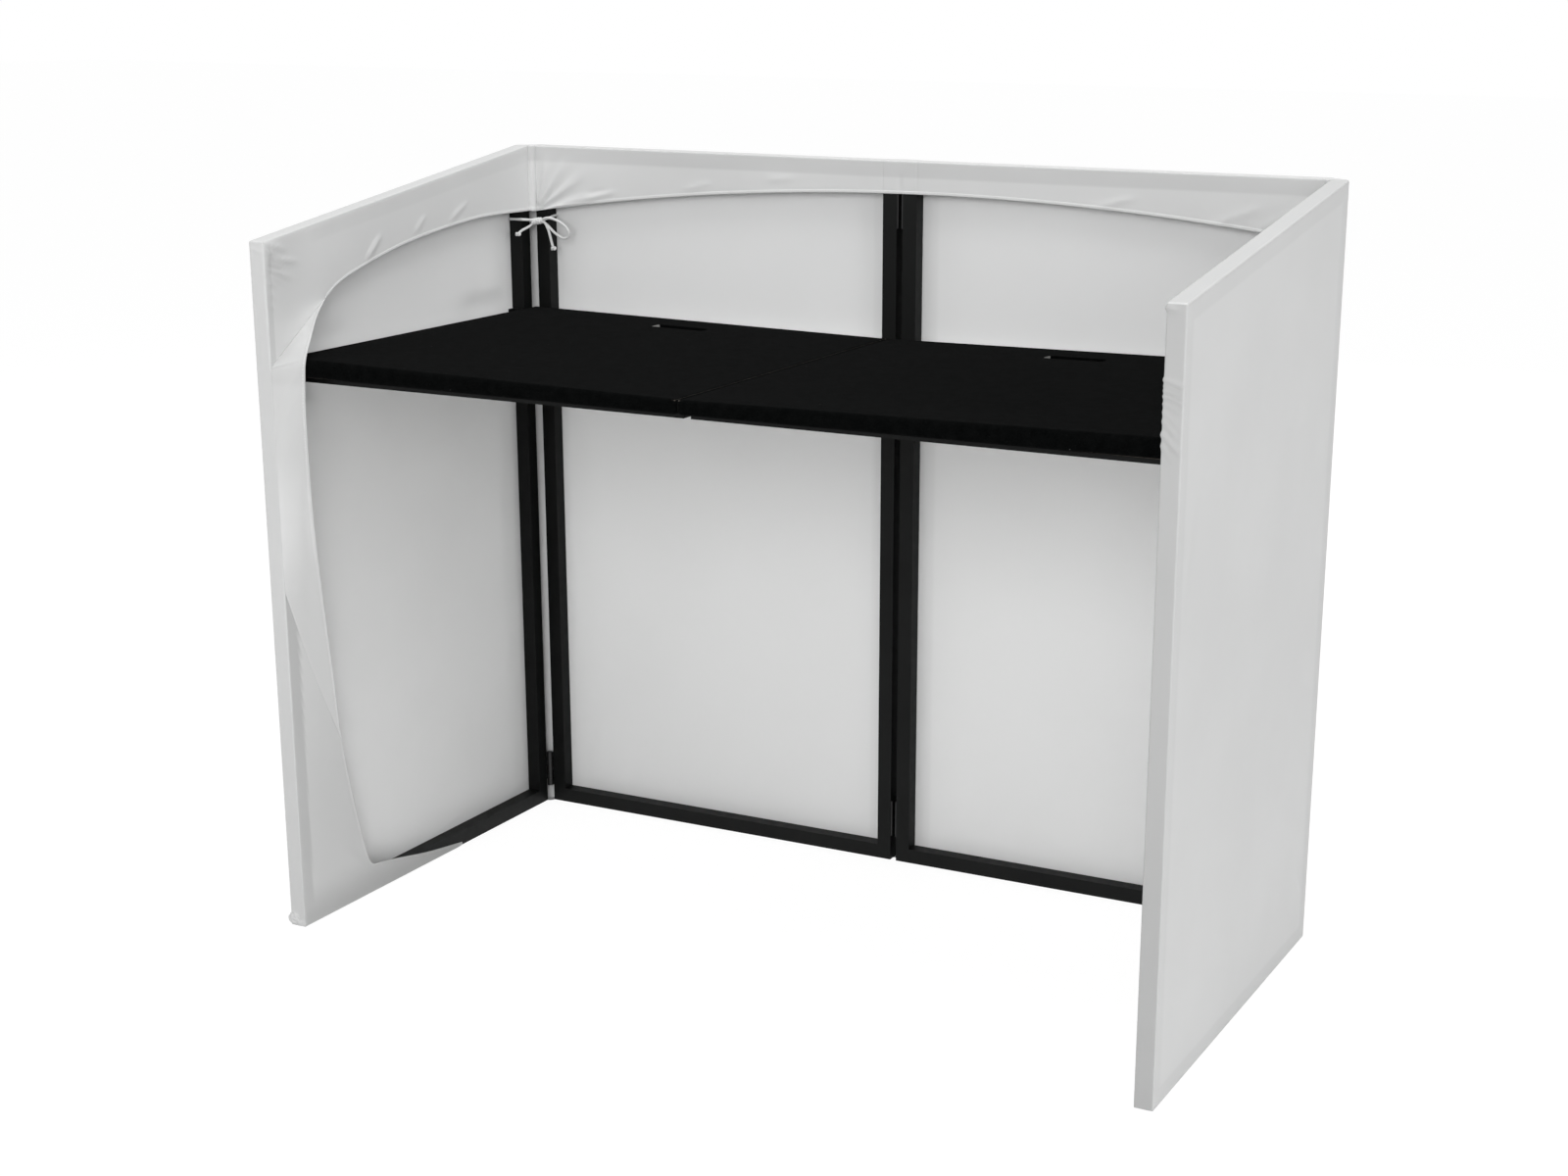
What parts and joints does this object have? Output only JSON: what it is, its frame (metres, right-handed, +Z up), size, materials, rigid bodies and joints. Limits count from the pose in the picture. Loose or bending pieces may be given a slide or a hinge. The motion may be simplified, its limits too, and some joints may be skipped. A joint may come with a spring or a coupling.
{
  "type": "dj booth",
  "caption": "Folding DJ booth of hinged tube frames in a U, with a white stretch cover and a carpeted split table for equipment.",
  "frame": {"origin": "on the floor, in the middle of the booth's outer box", "axes": "+X to the user's right, along the front panels; +Y from the user towards the audience; +Z up"},
  "size_m": [1.49, 0.7562, 1.21],
  "materials": {
    "frame": "black powder coat",
    "hinge": "black satin",
    "screw": "black zinc",
    "cover_cloth": "white stretch knit",
    "carpet": "black needle felt",
    "board": "bare plywood",
    "cord": "white braid"
  },
  "bodies": {
    "front_left": {"left_corner_cover": "cover_cloth", "left_corner_hinge_front_leaves": "hinge", "left_corner_hinge_pins": "hinge", "left_front_bottom_rail": "frame", "left_front_center_post": "frame", "left_front_cover": "cover_cloth", "left_front_cover_hem": "cover_cloth", "left_front_outer_post": "frame", "left_front_screws": "screw", "left_front_table_bracket": "frame", "left_front_top_rail": "frame", "left_middle_hinge_leaves": "hinge", "drawcord_knots": "cord", "drawcord_leads": "cord", "drawcord_left_tail": "cord", "drawcord_loop": "cord", "drawcord_right_tail": "cord", "middle_cover": "cover_cloth", "middle_hinge_pins": "hinge"},
    "left_wing": {"left_corner_hinge_wing_leaves": "hinge", "left_near_flap": "cover_cloth", "left_wing_bottom_rail": "frame", "left_wing_cover": "cover_cloth", "left_wing_cover_hem": "cover_cloth", "left_wing_far_post": "frame", "left_wing_near_post": "frame", "left_wing_screws": "screw", "left_wing_table_brackets": "frame", "left_wing_top_rail": "frame"},
    "front_right": {"right_corner_cover": "cover_cloth", "right_corner_hinge_front_leaves": "hinge", "right_corner_hinge_pins": "hinge", "right_front_bottom_rail": "frame", "right_front_center_post": "frame", "right_front_cover": "cover_cloth", "right_front_cover_hem": "cover_cloth", "right_front_outer_post": "frame", "right_front_screws": "screw", "right_front_table_bracket": "frame", "right_front_top_rail": "frame", "right_middle_hinge_leaves": "hinge"},
    "right_wing": {"right_corner_hinge_wing_leaves": "hinge", "right_near_flap": "cover_cloth", "right_wing_bottom_rail": "frame", "right_wing_cover": "cover_cloth", "right_wing_cover_hem": "cover_cloth", "right_wing_far_post": "frame", "right_wing_near_post": "frame", "right_wing_screws": "screw", "right_wing_table_brackets": "frame", "right_wing_top_rail": "frame"},
    "left_table": {"left_table_board": "board", "left_table_carpet": "carpet", "left_table_frame": "frame", "left_table_screws": "screw"},
    "right_table": {"right_table_board": "board", "right_table_carpet": "carpet", "right_table_frame": "frame", "right_table_screws": "screw"}
  },
  "joints": [
    {"name": "left_wing_swing", "type": "hinge", "parent": "front_left", "child": "left_wing", "pos_m": [-0.7155, 0.34035, 0.6], "axis": [0, 0, -1], "range_deg": [0, 90], "deforming": ["left_corner_cover"]},
    {"name": "middle_fold", "type": "hinge", "parent": "front_left", "child": "front_right", "pos_m": [0, 0.37085, 0.6], "axis": [0, 0, 1], "range_deg": [0, 180], "deforming": ["middle_cover"]},
    {"name": "right_wing_swing", "type": "hinge", "parent": "front_right", "child": "right_wing", "pos_m": [0.7155, 0.34035, 0.6], "axis": [0, 0, 1], "range_deg": [0, 90], "deforming": ["right_corner_cover"]},
    {"name": "left_table_lift", "type": "slide", "parent": "front_left", "child": "left_table", "axis": [0, 0, 1], "range_m": [0, 0.1], "deforming": ["left_near_flap"]},
    {"name": "right_table_lift", "type": "slide", "parent": "front_right", "child": "right_table", "axis": [0, 0, 1], "range_m": [0, 0.1]}
  ]
}
